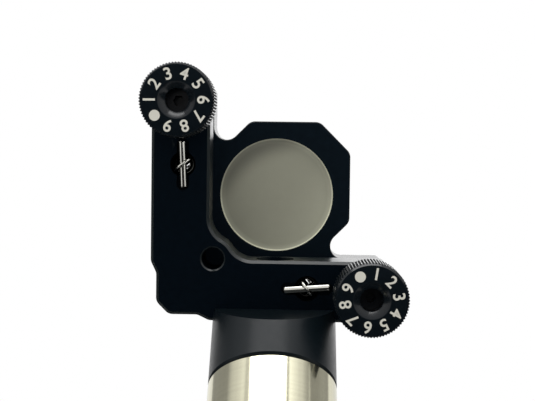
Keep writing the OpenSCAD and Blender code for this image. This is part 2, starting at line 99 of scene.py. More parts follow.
bpy.ops.mesh.primitive_plane_add(size=FLOOR_SIZE, location=(0, 0, 0))
floor = bpy.context.object
floor.name = "floor"
floor.visible_shadow = False
floor.visible_glossy = False
sheet = bpy.data.materials.new("floor_sheet")
sheet.use_nodes = True
sheet_nodes, sheet_link = sheet.node_tree.nodes, sheet.node_tree.links.new
sheet_nodes.clear()
sheet_side = sheet_nodes.new("ShaderNodeNewGeometry")
sheet_matt = sheet_nodes.new("ShaderNodeBsdfDiffuse")
sheet_matt.inputs["Color"].default_value = (*FLOOR_COLOUR, 1)
sheet_clear = sheet_nodes.new("ShaderNodeBsdfTransparent")
sheet_mix = sheet_nodes.new("ShaderNodeMixShader")
sheet_out = sheet_nodes.new("ShaderNodeOutputMaterial")
sheet_link(sheet_side.outputs["Backfacing"], sheet_mix.inputs["Fac"])
sheet_link(sheet_matt.outputs["BSDF"], sheet_mix.inputs[1])
sheet_link(sheet_clear.outputs["BSDF"], sheet_mix.inputs[2])
sheet_link(sheet_mix.outputs["Shader"], sheet_out.inputs["Surface"])
floor.data.materials.append(sheet)
print("floor:", FLOOR_SIZE, "m wide")


# %% Range helper
def ranged(tree, value, start, end, low, high, kind="LINEAR"):
    """Turns the range start to end of a value into the range low to high."""
    part = tree.nodes.new("ShaderNodeMapRange")
    part.interpolation_type = kind
    part.inputs["From Min"].default_value = start
    part.inputs["From Max"].default_value = end
    part.inputs["To Min"].default_value = low
    part.inputs["To Max"].default_value = high
    tree.links.new(value, part.inputs["Value"])
    return part.outputs["Result"]


# %% World
AMBIENT = 0.80

world = bpy.data.worlds.new("studio_tent")
bpy.context.scene.world = world
world.use_nodes = True
tent_nodes, tent_link = world.node_tree.nodes, world.node_tree.links.new
tent_nodes.clear()
tent_rays = tent_nodes.new("ShaderNodeLightPath")
tent_seen = tent_nodes.new("ShaderNodeMath")
tent_seen.operation = "MAXIMUM"
tent_clear = tent_nodes.new("ShaderNodeMath")
tent_clear.operation = "MAXIMUM"
tent_level = ranged(world.node_tree, tent_clear.outputs["Value"], 0, 1, AMBIENT, 1)
tent = tent_nodes.new("ShaderNodeBackground")
tent.inputs["Color"].default_value = (1, 1, 1, 1)
tent_out = tent_nodes.new("ShaderNodeOutputWorld")
tent_link(tent_rays.outputs["Is Camera Ray"], tent_seen.inputs[0])
tent_link(tent_rays.outputs["Is Glossy Ray"], tent_seen.inputs[1])
tent_link(tent_seen.outputs["Value"], tent_clear.inputs[0])
tent_link(tent_rays.outputs["Is Transmission Ray"], tent_clear.inputs[1])
tent_link(tent_level, tent.inputs["Strength"])
tent_link(tent.outputs["Background"], tent_out.inputs["Surface"])
print("ambient light:", AMBIENT)

# %% Lamps
HEAD_CENTRE = Vector((0, -0.012, 0.086))


def soft_box(name, place, width, height, brightness):
    """A rectangular lamp at a place, turned to the head. Its brightness is that of its face, where
    1 is the white of the tent."""
    aim = (HEAD_CENTRE - Vector(place)).to_track_quat("-Z", "Y").to_euler()
    bpy.ops.object.light_add(type="AREA", location=place, rotation=aim)
    lamp = bpy.context.object
    lamp.name = name
    lamp.data.shape = "RECTANGLE"
    lamp.data.size = width
    lamp.data.size_y = height
    lamp.data.energy = brightness * math.pi * width * height
    print(name, round(lamp.data.energy, 3), "W")


soft_box("front_strip", (-0.055, -0.42, 0.36), 0.52, 0.14, 5.3)
soft_box("back_sky", (0.06, 0.34, 0.52), 0.40, 0.34, 1.2)

# %% [markdown]
# ## Cards for the metal to reflect
# Bright metal has no look of its own: it shows what stands round it. In a studio, dark cards stand
# beside and behind the camera, so that steel gets dark bands next to its highlights and black parts
# stay black. These cards are seen in reflections only, and neither light nor shade anything.
#
# The wing cards are graded from one side to the other, which lets a highlight on the round post fade
# out slowly on one edge. The two narrow frame cards stand at the ends of the front lamp and cut its
# reflection off sharply, as the frame of a soft box does.

# %% Cards
def card(name, place, width, height, left, right=None):
    """A sheet turned to the head that only reflections see, grey or graded from side to side."""
    aim = (HEAD_CENTRE - Vector(place)).to_track_quat("Z", "Y").to_euler()
    bpy.ops.mesh.primitive_plane_add(size=1, location=place, rotation=aim)
    sheet = bpy.context.object
    sheet.name = name
    sheet.scale = (width, height, 1)
    sheet.visible_camera = False
    sheet.visible_diffuse = False
    sheet.visible_transmission = False
    sheet.visible_volume_scatter = False
    sheet.visible_shadow = False
    felt = bpy.data.materials.new(name + "_felt")
    felt.use_nodes = True
    nodes, link = felt.node_tree.nodes, felt.node_tree.links.new
    nodes.clear()
    glow = nodes.new("ShaderNodeEmission")
    glow.inputs["Strength"].default_value = left
    if right is not None:
        place_on = nodes.new("ShaderNodeTexCoord")
        split = nodes.new("ShaderNodeSeparateXYZ")
        link(place_on.outputs["UV"], split.inputs["Vector"])
        graded = ranged(felt.node_tree, split.outputs["X"], 0, 1, left, right)
        link(graded, glow.inputs["Strength"])
    glow_out = nodes.new("ShaderNodeOutputMaterial")
    link(glow.outputs["Emission"], glow_out.inputs["Surface"])
    sheet.data.materials.append(felt)
    print(name, "brightness", left, "to", left if right is None else right)


card("camera_card", (0, -0.18, -0.38), 0.80, 0.54, 0.025)
card("under_card", (0, 0.33, -0.25), 0.90, 0.60, 0.04)
card("low_left_card", (-0.52, 0.10, -0.01), 0.60, 0.58, 0.03)
card("low_right_card", (0.52, 0.10, -0.01), 0.60, 0.58, 0.03)
card("high_left_card", (-0.546, 0.146, 0.62), 0.59, 0.50, 0.41)
card("left_wing_card", (-0.502, -0.224, 0.62), 0.46, 0.50, 1.65, 0.38)
card("left_frame_card", (-0.327, -0.415, 0.36), 0.024, 0.24, 0.25)
card("high_right_card", (0.565, 0.03, 0.62), 0.59, 0.50, 0.39)
card("right_wing_card", (0.422, -0.384, 0.62), 0.48, 0.50, 0.45, 2.1)
card("right_frame_card", (0.220, -0.415, 0.36), 0.024, 0.24, 0.35)

# %% [markdown]
# ## The head's own axes
# The head leans back, so its pieces are easier to place in its own axes. The three ball points give
# them: the lower adjuster's ball lies across from the pivot, the upper one's above it, and the
# mirror looks out along the third axis.

# %% Head axes
def centre(node):
    low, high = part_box(node)
    return (Vector(low) + Vector(high)) / 2


pivot = centre("pivot_ball")
across = (centre("lower_tip_ball") - pivot).normalized()
up = (centre("upper_tip_ball") - pivot).normalized()
out = up.cross(across)
arm = (centre("upper_tip_ball") - pivot).length
seen_from_behind = Matrix((across, up, -out)).transposed().to_4x4()
print("lever arm:", round(arm / MM, 2), "mm")


# %% [markdown]
# ## Materials
# Nearly all of the mount is aluminium with a black anodised skin: dark, a little blue, and silky
# where it was milled. A material here is one Principled shader, with noise in object space for
# what changes over the surface. Numbers that are the same all over stay on the shader itself.

# %% Material helper
RELIEF_DEPTH = 0.04 * MM
NOISE_DETAIL = 6


def finish(name, colour, roughness, metallic=0.0, spread=0.15, grain=400.0, bump=0.02,
           stretch=(1, 1, 1), **sockets):
    """One Principled material whose colour and roughness drift by a fine noise."""
    mat = bpy.data.materials.new(name)
    mat.use_nodes = True
    nodes, link = mat.node_tree.nodes, mat.node_tree.links.new
    shader = nodes["Principled BSDF"]
    shader.inputs["Metallic"].default_value = metallic
    for socket, value in sockets.items():
        shader.inputs[socket.replace("_", " ")].default_value = value
    place = nodes.new("ShaderNodeTexCoord")
    turn = nodes.new("ShaderNodeMapping")
    turn.inputs["Scale"].default_value = stretch
    noise = nodes.new("ShaderNodeTexNoise")
    noise.inputs["Scale"].default_value = grain
    noise.inputs["Detail"].default_value = NOISE_DETAIL
    tint = nodes.new("ShaderNodeMix")
    tint.data_type = "RGBA"
    tint.inputs["A"].default_value = (*[c * (1 - spread) for c in colour], 1)
    tint.inputs["B"].default_value = (*[min(1, c * (1 + spread)) for c in colour], 1)
    silk = ranged(mat.node_tree, noise.outputs["Fac"], 0, 1, roughness * (1 - spread),
                  min(1, roughness * (1 + spread)))
    relief = nodes.new("ShaderNodeBump")
    relief.inputs["Strength"].default_value = bump
    relief.inputs["Distance"].default_value = RELIEF_DEPTH
    link(place.outputs["Object"], turn.inputs["Vector"])
    link(turn.outputs["Vector"], noise.inputs["Vector"])
    link(noise.outputs["Fac"], tint.inputs["Factor"])
    link(noise.outputs["Fac"], relief.inputs["Height"])
    link(tint.outputs["Result"], shader.inputs["Base Color"])
    link(silk, shader.inputs["Roughness"])
    link(relief.outputs["Normal"], shader.inputs["Normal"])
    return mat


# %% Node helpers
def vector_step(tree, operation, vector, other=None):
    """One step of vector arithmetic on a socket, with a fixed second vector."""
    step = tree.nodes.new("ShaderNodeVectorMath")
    step.operation = operation
    if other is not None:
        step.inputs[1].default_value = other
    tree.links.new(vector, step.inputs[0])
    return step


def number_step(tree, operation, value):
    """One step of arithmetic on a number."""
    step = tree.nodes.new("ShaderNodeMath")
    step.operation = operation
    tree.links.new(value, step.inputs[0])
    return step


def shaded(mat, factor):
    """Multiplies a material's colour, as it is so far, by a factor."""
    colour_in = mat.node_tree.nodes["Principled BSDF"].inputs["Base Color"]
    shade = vector_step(mat.node_tree, "SCALE", colour_in.links[0].from_socket)
    mat.node_tree.links.new(factor, shade.inputs["Scale"])
    mat.node_tree.links.new(shade.outputs["Vector"], colour_in)


# %% [markdown]
# ## Black anodised skin
# The plates' broad faces are blasted and matt, and their sides keep the cutter's shine under the same
# black skin. The sides are also given a paler colour, which is painted light for the light that the
# walls catch. How far a surface faces along the head's third axis tells a face from a side, so one
# material fits a whole plate or knob.

# %% Anodised skin
SIDE_UP_TO = 0.78
FACE_FROM = 0.97
SKIN_SPECULAR = 0.03


def anodised(name, colour, side_colour_painted_light, roughness, sheen, side_roughness):
    """A matt blasted face, and sides that kept the cutter's shine under the black skin, painted paler
    as painted light.
    """
    mat = finish(name, colour, roughness, spread=0.3, grain=900, bump=0.2,
                 Specular_IOR_Level=SKIN_SPECULAR)
    tree = mat.node_tree
    shader = tree.nodes["Principled BSDF"]
    facing = tree.nodes.new("ShaderNodeTexCoord")
    along = vector_step(tree, "DOT_PRODUCT", facing.outputs["Normal"], out)
    size = number_step(tree, "ABSOLUTE", along.outputs["Value"]).outputs["Value"]
    side_sheen = ranged(tree, size, SIDE_UP_TO, FACE_FROM, sheen, 0)
    tree.links.new(side_sheen, shader.inputs["Coat Weight"])
    shader.inputs["Coat Roughness"].default_value = side_roughness
    # Painted light: the sides get a paler colour, for the light that the walls catch.
    skin = tree.nodes.new("ShaderNodeMix")
    skin.data_type = "RGBA"
    skin.inputs["B"].default_value = (*side_colour_painted_light, 1)
    painted_light_share = ranged(tree, size, SIDE_UP_TO, FACE_FROM, 1, 0)
    tree.links.new(painted_light_share, skin.inputs["Factor"])
    tree.links.new(shader.inputs["Base Color"].links[0].from_socket, skin.inputs["A"])
    tree.links.new(skin.outputs["Result"], shader.inputs["Base Color"])
    return mat


# %% [markdown]
# ## Ground bar steel
# The post is ground between wheels as it turns, which leaves rings too fine to see one by one, and
# drawn bar has slow streaks along its length. Each is a noise that is drawn out one way: across the
# bar for the rings, and along it for the streaks.

# %% Ground steel
RING_STRETCH = (0.03, 0.03, 1)
STREAK_STRETCH = (1, 1, 0.02)
STREAK_DETAIL = 3
STREAK_NOISE = (0.3, 0.7)
STREAK_SHADE = (0.72, 1.25)


def ground_steel(name, colour, roughness, streaks, lines):
    """Bar steel: slow lengthwise streaks up the bar, and fine rings left by the wheel."""
    mat = finish(name, colour, roughness, metallic=1, spread=0.08, grain=lines, bump=0.08,
                 stretch=RING_STRETCH)
    nodes, link = mat.node_tree.nodes, mat.node_tree.links.new
    place = nodes.new("ShaderNodeTexCoord")
    upright = nodes.new("ShaderNodeMapping")
    upright.inputs["Scale"].default_value = STREAK_STRETCH
    streak = nodes.new("ShaderNodeTexNoise")
    streak.inputs["Scale"].default_value = streaks
    streak.inputs["Detail"].default_value = STREAK_DETAIL
    link(place.outputs["Object"], upright.inputs["Vector"])
    link(upright.outputs["Vector"], streak.inputs["Vector"])
    shaded(mat, ranged(mat.node_tree, streak.outputs["Fac"], *STREAK_NOISE, *STREAK_SHADE))
    return mat


# %% [markdown]
# ## Ground glass, with painted shade
# The mirror's back is ground, so it scatters light like fine paper, and the cell's wall keeps the
# light off it along one side. A lamp could draw that shade, but it would change the metals too, so
# the glass carries it as painted shade: one slope across the disc, which counts more towards the rim,
# darkens one side and paints the other side lighter. Two narrow rings near the edge are painted
# light: one lifts the edge, and one is a painted highlight on the bevelled rim.

# %% Ground glass
# Each range runs from one value to another, and is followed by the shades at its two ends.
SHADE_DIRECTION = across * 0.60 - up * 0.80
SHADE_RADIUS = 11.3
PAINTED_SHADE_SIDE = (-0.88, -0.30, 0.62, 1.12)
PAINTED_LIGHT_SIDE = (0, 0.93, 1, 1.40)
PAINTED_EDGE_LIGHT = (10.9 * MM, 12.0 * MM, 1, 1.45)
PAINTED_RIM_HIGHLIGHT = (11.8 * MM, 12.3 * MM, 1, 2.9)


def shaded_glass(name, colour):
    """Ground glass with painted shade towards the side where the cell keeps the light off it, painted
    light on the other side and near the edge, and a painted highlight along its bevelled rim."""
    mat = finish(name, colour, 0.5, spread=0.04, grain=500, bump=0.05)
    tree = mat.node_tree
    place = tree.nodes.new("ShaderNodeTexCoord")
    step = vector_step(tree, "SUBTRACT", place.outputs["Object"], centre("mirror_disc"))
    flat = vector_step(tree, "CROSS_PRODUCT", step.outputs["Vector"], out)
    radius = vector_step(tree, "LENGTH", flat.outputs["Vector"]).outputs["Value"]
    down = vector_step(tree, "DOT_PRODUCT", step.outputs["Vector"],
                       SHADE_DIRECTION / (SHADE_RADIUS * MM) ** 2)
    slope_step = number_step(tree, "MULTIPLY", down.outputs["Value"])
    tree.links.new(radius, slope_step.inputs[1])
    slope = slope_step.outputs["Value"]
    # Painted shade and painted light: the two slopes, the lift near the edge and the highlight on the
    # rim.
    shaded(mat, ranged(tree, slope, *PAINTED_SHADE_SIDE, kind="SMOOTHSTEP"))
    shaded(mat, ranged(tree, slope, *PAINTED_LIGHT_SIDE))
    shaded(mat, ranged(tree, radius, *PAINTED_EDGE_LIGHT))
    shaded(mat, ranged(tree, radius, *PAINTED_RIM_HIGHLIGHT))
    return mat


# %% [markdown]
# ## Fine thread
# The adjusting screws have a very fine thread: eighty turns to the inch, so that a small turn of the
# knob moves the tip by microns. Cut as a shape it would take many thousands of faces for grooves
# less than a fifth of a millimetre deep. Here it is a bump: the place along the head's third axis,
# counted in pitches, goes up and down once a pitch. That gives rings and not a helix, a difference
# that is hard to see at this pitch.

# %% Fine thread
THREAD_PITCH = 0.3175
THREAD_DEPTH = 0.17
HALF_A_PITCH = 0.5


def fine_thread(name, colour):
    """Blackened steel with the rings of a fine thread, one pitch apart along the head's axis."""
    mat = finish(name, colour, 0.3, spread=0.3, grain=900, Specular_IOR_Level=0.15)
    tree = mat.node_tree
    place = tree.nodes.new("ShaderNodeTexCoord")
    along = vector_step(tree, "DOT_PRODUCT", place.outputs["Object"], out / (THREAD_PITCH * MM))
    flank = number_step(tree, "PINGPONG", along.outputs["Value"])
    flank.inputs[1].default_value = HALF_A_PITCH
    thread = tree.nodes.new("ShaderNodeBump")
    thread.inputs["Distance"].default_value = THREAD_DEPTH * MM
    tree.links.new(flank.outputs["Value"], thread.inputs["Height"])
    tree.links.new(thread.outputs["Normal"], tree.nodes["Principled BSDF"].inputs["Normal"])
    return mat


# %% [markdown]
# ## Spring wire
# The springs are bright wire, but only their hooks at the pins catch the light. The coils sit deep in
# a black hole, where little reaches them. Dark reflections can't be counted on so far down a narrow
# hole, so the wire's colour is darkened with its depth, as painted shade.

# %% Spring wire
UNSHADED_TO = 1.0
PAINTED_SHADE_FROM = 3.0
PAINTED_SHADE_SHARE = 0.03


def spring_wire(name, colour, top):
    """Bright wire at the hooks, and wire darkened with painted shade on the coils, deeper in the hole
    than `top`.
    """
    mat = finish(name, colour, 0.14, metallic=1, spread=0.1, grain=700)
    tree = mat.node_tree
    place = tree.nodes.new("ShaderNodeTexCoord")
    depth = vector_step(tree, "DOT_PRODUCT", place.outputs["Object"], out)
    start = out.dot(top) + UNSHADED_TO * MM
    end = out.dot(top) + PAINTED_SHADE_FROM * MM
    # Painted shade: the wire's colour darkens with its depth in the hole.
    shaded(mat, ranged(tree, depth.outputs["Value"], start, end, 1, PAINTED_SHADE_SHARE))
    return mat


# %% Metals, glass and paint
WIRE_COLOUR = (0.62, 0.61, 0.56)

# Each black's second colour is for its sides. Where it is paler than the face, it is painted light.
plate_black = anodised("plate_black", (0.0006, 0.0030, 0.0060), (0.010, 0.014, 0.015), 0.5, 0.75,
                       0.3)
front_black = anodised("front_black", (0.0026, 0.0060, 0.0098), (0.005, 0.008, 0.010), 0.5, 0.45,
                       0.2)
knob_black = anodised("knob_black", (0.0026, 0.0050, 0.0074), (0.0026, 0.0050, 0.0074), 0.5, 0.7,
                      0.18)
screw_black = fine_thread("screw_black", (0.0018, 0.0034, 0.0060))
# Painted shade: a darker, duller black for the walls of holes that little light reaches.
bore_black_painted_shade = finish("bore_black_painted_shade", (0.0014, 0.0030, 0.0045), 0.8, spread=0.3, grain=900,
                    Specular_IOR_Level=0.02)
# Painted shade: a darker, duller black for the knurls' grooves.
groove_black_painted_shade = finish("groove_black_painted_shade", (0.0020, 0.0040, 0.0056), 0.6, spread=0.3, grain=900,
                      Specular_IOR_Level=0.05)
adapter_black = finish("adapter_black", (0.0028, 0.0058, 0.0080), 0.34, spread=0.2, grain=1200,
                       bump=0.3, Specular_IOR_Level=0.21)
post_steel = ground_steel("post_steel", (0.60, 0.578, 0.435), 0.12, 160, 2500)
bright_steel = finish("bright_steel", (0.55, 0.54, 0.50), 0.18, metallic=1, spread=0.1, grain=700)
pin_steel = finish("pin_steel", WIRE_COLOUR, 0.06, metallic=1, spread=0.1, grain=700)
upper_wire = spring_wire("upper_wire", WIRE_COLOUR, centre("upper_rear_pin"))
lower_wire = spring_wire("lower_wire", WIRE_COLOUR, centre("lower_rear_pin"))
dark_steel = finish("dark_steel", (0.012, 0.013, 0.015), 0.35, spread=0.3, grain=900,
                    Specular_IOR_Level=0.3)
brass = finish("brass", (0.50, 0.33, 0.14), 0.25, metallic=1, spread=0.1, grain=700)
ground_glass_painted_shade = shaded_glass("ground_glass_painted_shade", (0.235, 0.234, 0.178))
nylon = finish("nylon", (0.80, 0.80, 0.74), 0.5, spread=0.05, grain=500)
mark_white = finish("mark_white", (0.58, 0.565, 0.50), 0.6, spread=0.04, grain=700)

NODE_FINISH = {
    "post": post_steel, "post_stud": dark_steel, "angle_adapter": adapter_black,
    "mount_screw": dark_steel, "back_plate": plate_black, "upper_bushing": brass,
    "lower_bushing": brass, "pivot_anchor": bright_steel, "pivot_ball": bright_steel,
    "upper_tip_ball": bright_steel, "lower_tip_ball": bright_steel,
    "upper_screw": screw_black, "lower_screw": screw_black,
    "upper_knob": knob_black, "lower_knob": knob_black, "front_plate": front_black,
    "pivot_seat": bright_steel, "vee_seat": bright_steel, "flat_seat": bright_steel,
    "mirror_disc": ground_glass_painted_shade, "lock_screw": dark_steel, "lock_tip": nylon,
    "upper_spring": upper_wire, "lower_spring": lower_wire,
    "upper_rear_pin": pin_steel, "lower_rear_pin": pin_steel,
    "upper_front_pin": pin_steel, "lower_front_pin": pin_steel,
}
for node, material in NODE_FINISH.items():
    for material_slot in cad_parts[node].material_slots:
        material_slot.material = material
print("finished nodes:", len(NODE_FINISH))

# %% Selecting and shading helpers
MERGE = 0.002 * MM
HAIR = 0.01 * MM


def only(obj):
    """Makes one object the only selected one, and the active one."""
    bpy.ops.object.select_all(action="DESELECT")
    obj.select_set(True)
    bpy.context.view_layer.objects.active = obj


def pick(obj, chosen):
    """In edit mode, selects the vertices whose place passes a test."""
    bpy.ops.object.mode_set(mode="OBJECT")
    for part in (obj.data.edges, obj.data.polygons):
        part.foreach_set("select", [False] * len(part))
    for vertex in obj.data.vertices:
        vertex.select = chosen(vertex.co)
    bpy.ops.object.mode_set(mode="EDIT")


def settle(obj, place, material, body):
    """Puts a piece drawn at the origin in its place, gives it its finish and its body."""
    obj.matrix_world = place
    only(obj)
    bpy.ops.object.transform_apply(location=True, rotation=True, scale=True)
    obj.data.materials.clear()
    obj.data.materials.append(material)
    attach(obj, body)


# %% [markdown]
# ## Chamfered outlines
# Machined plates never have knife edges, and the chamfer round their outline draws the pale line
# that edges a dark part. The CAD solids have sharp edges, so each is copied and its loose triangles
# are merged. Each of a plate's two faces is then inset, and its old outline is lowered along the
# walls. A Bevel on the outline's edges is the other way. The inset leaves a point at every corner of
# the outline, and the points round the holes are told apart by their place and left alone.

# %% Outline chamfer helper
BACK_CHAMFER = 0.58 * MM
FRONT_CHAMFER = 0.2 * MM
FLAT_ENOUGH = 0.999
UPRIGHT_ENOUGH = 0.05


def near(point, holes):
    """True where a point lies within an ellipse round one of the holes."""
    for place, half_across, half_up in holes:
        step = point - place
        if math.hypot(step.dot(across) / half_across, step.dot(up) / half_up) < 1:
            return True
    return False


def chamfer_outline(piece, holes, width):
    """Chamfers the edges where a plate's two faces meet its outer walls, away from its holes. Each
    face is inset, and then the old outline is lowered along the walls."""
    levels = [vertex.co.dot(out) for vertex in piece.data.vertices]
    for side, level in ((-1, min(levels)), (1, max(levels))):
        def on_face(polygon):
            return (polygon.normal.dot(out) * side > FLAT_ENOUGH
                    and abs(polygon.center.dot(out) - level) < HAIR)

        pick(piece, lambda point: False)
        bpy.ops.mesh.select_mode(type="FACE")
        bpy.ops.object.mode_set(mode="OBJECT")
        for polygon in piece.data.polygons:
            polygon.select = on_face(polygon)
        bpy.ops.object.mode_set(mode="EDIT")
        bpy.ops.mesh.inset(thickness=width, use_even_offset=True)
        bpy.ops.mesh.select_mode(type="VERT")
        bpy.ops.object.mode_set(mode="OBJECT")
        walls = [p for p in piece.data.polygons if abs(p.normal.dot(out)) < UPRIGHT_ENOUGH]
        corners = [v for wall in walls for v in wall.vertices]
        outline = {tuple(piece.data.vertices[v].co) for v in corners
                   if abs(piece.data.vertices[v].co.dot(out) - level) < HAIR
                   and not near(piece.data.vertices[v].co, holes)}
        pick(piece, lambda point: tuple(point) in outline)
        bpy.ops.transform.translate(value=out * -side * width)
        bpy.ops.object.mode_set(mode="OBJECT")
        print(piece.name, "outline corners:", len(outline))


# %% Blind hole helper
SINK_SIDES = 64


def sink(piece, mouth, axis, radius, depth):
    """Cuts a round blind hole into a piece, down from its mouth."""
    turn = axis.to_track_quat("Z", "Y").to_euler()
    bpy.ops.mesh.primitive_cylinder_add(vertices=SINK_SIDES, radius=radius, depth=2 * depth,
                                        location=mouth, rotation=turn)
    cutter = bpy.context.object
    only(piece)
    cut = piece.modifiers.new("cut", "BOOLEAN")
    cut.operation = "DIFFERENCE"
    cut.object = cutter
    bpy.ops.object.modifier_apply(modifier="cut")
    bpy.data.objects.remove(cutter, do_unlink=True)


# %% [markdown]
# ## Plates and adapter
# Copies of the two plates and the adapter stand for the CAD nodes. Walls inside the spring holes and
# the other dark holes get a duller black with a darker colour, painted shade because little light
# reaches them.
#
# A Bevel modifier goes over each copy last. The width asked for is a hair, but its Clamp Overlap
# setting holds the width down to what short edges allow, all over the mesh. A few thousandths of a
# millimetre are left on the plates, and some hundredths on the adapter. So the holes and slots stay
# nearly sharp, and the chamfer made before is what shows. With the setting off, most of the bevel
# comes out at the width asked for.

# %% Dressed copy helper
BEVEL_FROM = 30
SMOOTH_UNDER = 12
FLAT_WITHIN = 0.5
WALL_LIMIT = 0.5


def dressed_copy(node, body, width, chamfer=0, holes=(), dull_and_painted_shade=(), sinks=()):
    """A dressed copy of a CAD node, which stands for the node. Walls near the places in
    dull_and_painted_shade get the second finish, a duller black with painted shade. The bevel comes
    out much narrower than the width asked for."""
    piece = bpy.data.objects.new(node + "_edged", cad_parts[node].data.copy())
    bpy.context.scene.collection.objects.link(piece)
    only(piece)
    bpy.ops.object.mode_set(mode="EDIT")
    bpy.ops.mesh.select_all(action="SELECT")
    bpy.ops.mesh.remove_doubles(threshold=MERGE)
    bpy.ops.mesh.dissolve_limited(angle_limit=math.radians(FLAT_WITHIN))
    bpy.ops.object.mode_set(mode="OBJECT")
    if chamfer:
        chamfer_outline(piece, holes, chamfer)
    for hole in sinks:
        sink(piece, *hole)
    edge = piece.modifiers.new("edge", "BEVEL")
    edge.width = width
    edge.segments = 1
    edge.limit_method = "ANGLE"
    edge.angle_limit = math.radians(BEVEL_FROM)
    edge.loop_slide = False
    bpy.ops.object.modifier_apply(modifier="edge")
    bpy.ops.object.shade_smooth_by_angle(angle=math.radians(SMOOTH_UNDER))
    if dull_and_painted_shade:
        # The walls of the dark holes get the duller black with painted shade.
        piece.data.materials.append(bore_black_painted_shade)
    for polygon in piece.data.polygons:
        if abs(polygon.normal.dot(out)) < WALL_LIMIT and near(polygon.center, dull_and_painted_shade):
            polygon.material_index = 1
    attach(piece, body)
    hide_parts(node)
    print(piece.name, len(piece.data.polygons), "faces")


# %% Holes in the plates
CORNER_HOLE = 6.3 * MM
CORNER_HOLE_REACH = 3.2 * MM
PIN_HOLE = (3.0 * MM, 6.2 * MM)
BUSHING_REACH = 5.2 * MM
BACK_PIVOT_REACH = 3.4 * MM
CELL_REACH = 14.3 * MM
SEAT_REACH = 4 * MM


def round_hole(place, reach):
    """A round stretch of a plate where its outline isn't looked for."""
    return (place, reach, reach)


spring_holes = [
    (centre("upper_rear_pin"), *PIN_HOLE), (centre("lower_rear_pin"), *reversed(PIN_HOLE))]
corner_hole = round_hole(pivot + (across + up) * CORNER_HOLE, CORNER_HOLE_REACH)
back_holes = spring_holes + [
    round_hole(centre("upper_bushing"), BUSHING_REACH),
    round_hole(centre("lower_bushing"), BUSHING_REACH),
    round_hole(pivot, BACK_PIVOT_REACH), corner_hole]
front_holes = spring_holes + [
    round_hole(centre("mirror_disc"), CELL_REACH),
    round_hole(centre("upper_tip_ball"), SEAT_REACH),
    round_hole(centre("lower_tip_ball"), SEAT_REACH), round_hole(pivot, SEAT_REACH)]
print("holes in the back plate:", len(back_holes), "and in the front plate:", len(front_holes))

# %% [markdown]
# ## The counterbore
# A round hole opens in the top wall of the lower arm, half way from the pivot to the lower
# adjuster, over the screw that holds the head to its adapter. On a real mount it would take the
# screw's head. The CAD plate has none, so it is sunk into the plate's copy with a cylinder and a
# Boolean modifier. It is left empty and has a closed floor, because the CAD's screw ends below it.

# %% Counterbore
COUNTERBORE_RADIUS = 3.95 * MM
COUNTERBORE_DEPTH = 4.0 * MM
# The counterbore's wall gets the duller black with painted shade.
PAINTED_SHADE_WALL = (4.2 * MM, 2.0 * MM)
ALONG_THE_ARM = 19.05
ARM_TOP_ABOVE_PIVOT = 6.0
PLATE_BEHIND_PIVOT = 7.18
PAINTED_SHADE_WALL_DOWN = 2.1

arm_top = (pivot + across * ALONG_THE_ARM * MM + up * ARM_TOP_ABOVE_PIVOT * MM
           - out * PLATE_BEHIND_PIVOT * MM)
counterbore = (arm_top, up, COUNTERBORE_RADIUS, COUNTERBORE_DEPTH)
counterbore_wall = (arm_top - up * PAINTED_SHADE_WALL_DOWN * MM, *PAINTED_SHADE_WALL)
screw_end = max((v.co - arm_top).dot(up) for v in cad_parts["mount_screw"].data.vertices)
print("floor above the screw's end:", round((-COUNTERBORE_DEPTH - screw_end) / MM, 2), "mm")

# %% Plates and adapter
PLATE_BEVEL = 0.13 * MM
ADAPTER_BEVEL = 0.15 * MM

dressed_copy("back_plate", "stand", PLATE_BEVEL, BACK_CHAMFER, back_holes,
             spring_holes + [corner_hole, counterbore_wall], [counterbore])
dressed_copy("front_plate", "optic_plate", PLATE_BEVEL, FRONT_CHAMFER, front_holes, spring_holes)
dressed_copy("angle_adapter", "stand", ADAPTER_BEVEL)

# %% [markdown]
# ## The knobs
# Each knob is turned from bar: a knurled rim with a chamfer at both ends, a coned recess in the
# face, and a bore for the screw. One closed ring of points is extruded round the turned outline,
# ring by ring, and then every second pair of points on the rim is drawn in, which cuts the knurls.
# The sizes here are in millimetres.

# %% Knob sizes
KNURLS = 75
KNURL_DEPTH = 0.22
KNOB_RADIUS = 7.3
KNOB_LENGTH = 9.8
KNOB_CHAMFER = 0.5
MOUTH_RADIUS = 3.6
RECESS_RADIUS = 2.3
RECESS_DEPTH = 5.0
CONE_DEPTH = 1.0
BORE_RADIUS = 3.195
EDGE = 0.07
KNOB_SMOOTH_UNDER = 20
CLOSE = 0.01
WALL_TILT = 0.1

rim = KNOB_RADIUS - KNOB_CHAMFER
knob_outline = [
    (RECESS_RADIUS, -RECESS_DEPTH), (RECESS_RADIUS, -CONE_DEPTH - EDGE),
    (RECESS_RADIUS + EDGE, -CONE_DEPTH), (MOUTH_RADIUS - EDGE, -EDGE), (MOUTH_RADIUS + EDGE, 0),
    (rim - EDGE, 0), (rim + EDGE / 2, -EDGE / 2),
    (KNOB_RADIUS, -KNOB_CHAMFER), (KNOB_RADIUS, -KNOB_LENGTH + KNOB_CHAMFER),
    (rim, -KNOB_LENGTH), (BORE_RADIUS, -KNOB_LENGTH), (BORE_RADIUS, -RECESS_DEPTH),
    (RECESS_RADIUS, -RECESS_DEPTH),
]


# %% Turned outline helper
POLE = 0.001


